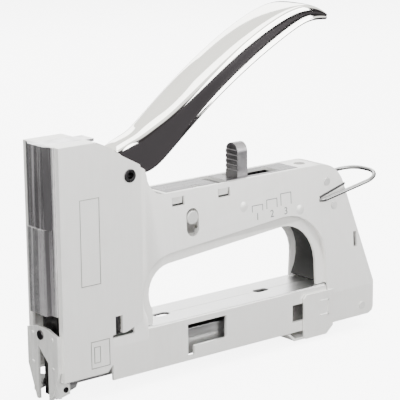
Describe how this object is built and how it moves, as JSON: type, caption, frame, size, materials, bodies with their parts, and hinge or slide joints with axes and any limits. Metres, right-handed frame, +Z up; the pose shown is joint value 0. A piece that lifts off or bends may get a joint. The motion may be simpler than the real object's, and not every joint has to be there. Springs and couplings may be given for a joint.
{
  "type": "staple gun",
  "caption": "All-steel hand staple gun with a sprung nose, bowed squeeze lever, stepped force adjuster, drop-down magazine and a wire that locks the lever.",
  "frame": {"origin": "middle of the footprint, on the level of the nose guide's tip", "axes": "+X from the nose to the rear, +Y to the right side, +Z up towards the lever"},
  "size_m": [0.1826, 0.027, 0.1516],
  "materials": {
    "shell_steel": "satin plated",
    "cover_chrome": "polished",
    "lever_chrome": "mirror",
    "guide_steel": "dull",
    "inner_steel": "plain",
    "dark_steel": "oiled",
    "adjuster_metal": "tumbled",
    "insert_plastic": "matte",
    "buffer_rubber": "matte"
  },
  "bodies": {
    "body": {"left_shell": "shell_steel", "right_shell": "shell_steel", "front_cover": "cover_chrome", "nose_guide": "guide_steel", "nose_button": "dark_steel", "striker_guide": "dark_steel", "main_spring": "dark_steel", "spring_seat": "dark_steel", "spring_rod": "dark_steel", "striker_buffer": "buffer_rubber", "lever_pin": "dark_steel", "lever_washers": "dark_steel", "lever_spring": "dark_steel", "left_inner": "inner_steel", "right_inner": "inner_steel", "grip_insert": "insert_plastic", "detent_spring": "dark_steel", "rail_frame": "dark_steel", "rear_block": "dark_steel", "rivets": "guide_steel", "magazine_pin": "dark_steel"},
    "lever": {"lever": "lever_chrome", "lever_web": "dark_steel", "lever_sides": "lever_chrome"},
    "striker": {"striker": "dark_steel", "driver_blade": "dark_steel"},
    "adjuster": {"adjuster_lever": "adjuster_metal", "adjuster_bar": "inner_steel"},
    "adjuster_pin": {"adjuster_pin": "guide_steel"},
    "lock_wire": {"lock_wire": "dark_steel"},
    "magazine": {"staple_tray": "inner_steel", "staple_core": "dark_steel", "staple_strip": "guide_steel", "pusher_spring": "dark_steel", "pusher_rod": "inner_steel", "latch_spring": "dark_steel"},
    "pusher": {"pusher": "inner_steel"},
    "latch": {"latch_clip": "shell_steel"}
  },
  "joints": [
    {"name": "lever_hinge", "type": "hinge", "parent": "body", "child": "lever", "pos_m": [-0.05335, 0, 0.091], "axis": [0, 1, 0], "range_deg": [0, 28], "stiffness_Nm_per_rad": 0.4, "springref_deg": -40.11, "deforming": ["main_spring"]},
    {"name": "striker_slide", "type": "slide", "parent": "body", "child": "striker", "axis": [0, 0, 1], "range_m": [0, 0.0139]},
    {"name": "adjuster_slide", "type": "slide", "parent": "body", "child": "adjuster", "axis": [1, 0, 0], "range_m": [0, 0.016]},
    {"name": "adjuster_pin_slide", "type": "slide", "parent": "body", "child": "adjuster_pin", "axis": [0, 0, -1], "range_m": [0, 0.0048]},
    {"name": "lock_wire_hinge", "type": "hinge", "parent": "body", "child": "lock_wire", "pos_m": [0.05425, 0, 0.0635], "axis": [0, -1, 0], "range_deg": [0, 42]},
    {"name": "magazine_hinge", "type": "hinge", "parent": "body", "child": "magazine", "pos_m": [-0.08435, 0, 0.0056], "axis": [0, 1, 0], "range_deg": [0, 25]},
    {"name": "pusher_slide", "type": "slide", "parent": "magazine", "child": "pusher", "axis": [1, 0, 0], "range_m": [0, 0.04], "stiffness_N_per_m": 20, "springref_m": -0.03, "deforming": ["pusher_spring"]},
    {"name": "latch_slide", "type": "slide", "parent": "magazine", "child": "latch", "axis": [-1, 0, 0], "range_m": [0, 0.004]}
  ],
  "couplings": [
    {"joint": "striker_slide", "follows": "lever_hinge", "m_per_rad": 0.028239},
    {"joint": "adjuster_pin_slide", "follows": "adjuster_slide", "ratio": 0.3}
  ]
}
